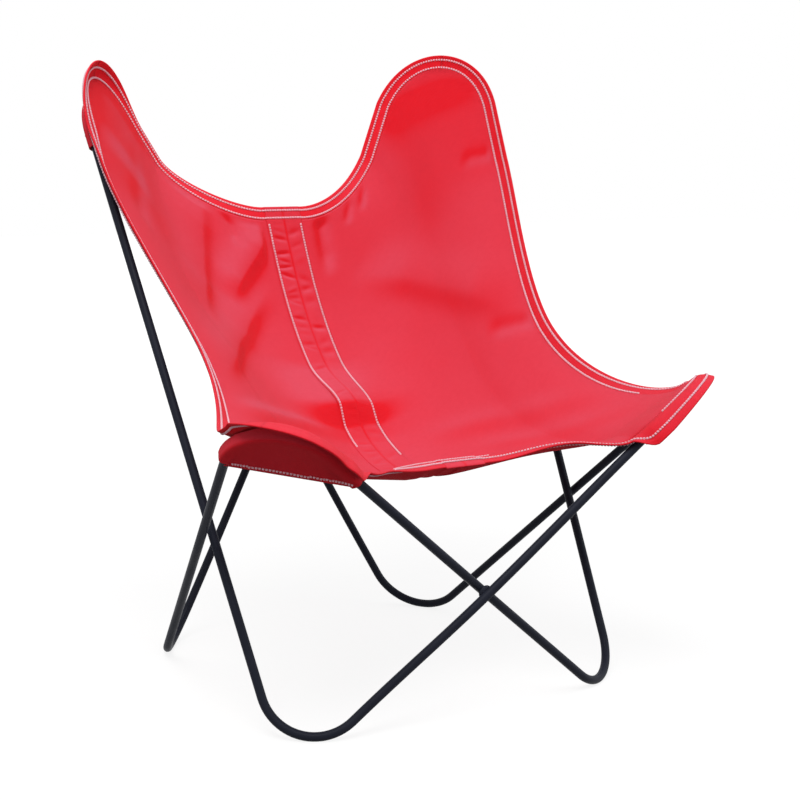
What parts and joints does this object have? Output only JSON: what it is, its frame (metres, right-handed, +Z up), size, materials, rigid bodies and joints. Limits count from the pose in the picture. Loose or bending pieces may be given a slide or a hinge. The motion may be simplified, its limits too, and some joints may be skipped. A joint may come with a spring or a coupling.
{
  "type": "butterfly sling chair",
  "caption": "Low lounge chair: a sewn canvas sling with pockets at its corners hangs on the tips of a welded frame of bent steel rods.",
  "frame": {"origin": "on the floor, under the middle of the chair's bounding box", "axes": "+Z up, -Y the way the sitter faces, +X on the right of the chair as seen from its front"},
  "size_m": [0.7204, 0.6924, 0.8743],
  "materials": {
    "rod_paint": "satin black paint on bent steel rod",
    "canvas": "heavy plain-woven cotton canvas, matt",
    "thread": "pale twisted sewing thread"
  },
  "bodies": {
    "root": {"frame_loop_a": "rod_paint", "frame_loop_b": "rod_paint", "front_cross_weld": "rod_paint", "rear_cross_weld": "rod_paint", "centre_seam_strip": "canvas", "top_edge_facing": "canvas", "left_edge_facing": "canvas", "right_edge_facing": "canvas", "front_edge_facing": "canvas", "left_panel": "canvas", "right_panel": "canvas", "back_left_pocket": "canvas", "front_left_pocket": "canvas", "back_right_pocket": "canvas", "front_right_pocket": "canvas", "top_outer_stitching": "thread", "top_inner_stitching": "thread", "left_outer_stitching": "thread", "left_inner_stitching": "thread", "right_outer_stitching": "thread", "right_inner_stitching": "thread", "front_outer_stitching": "thread", "front_inner_stitching": "thread", "left_seam_stitching": "thread", "right_seam_stitching": "thread", "back_left_mouth_stitching": "thread", "front_left_mouth_stitching": "thread", "back_right_mouth_stitching": "thread", "front_right_mouth_stitching": "thread"}
  },
  "joints": []
}
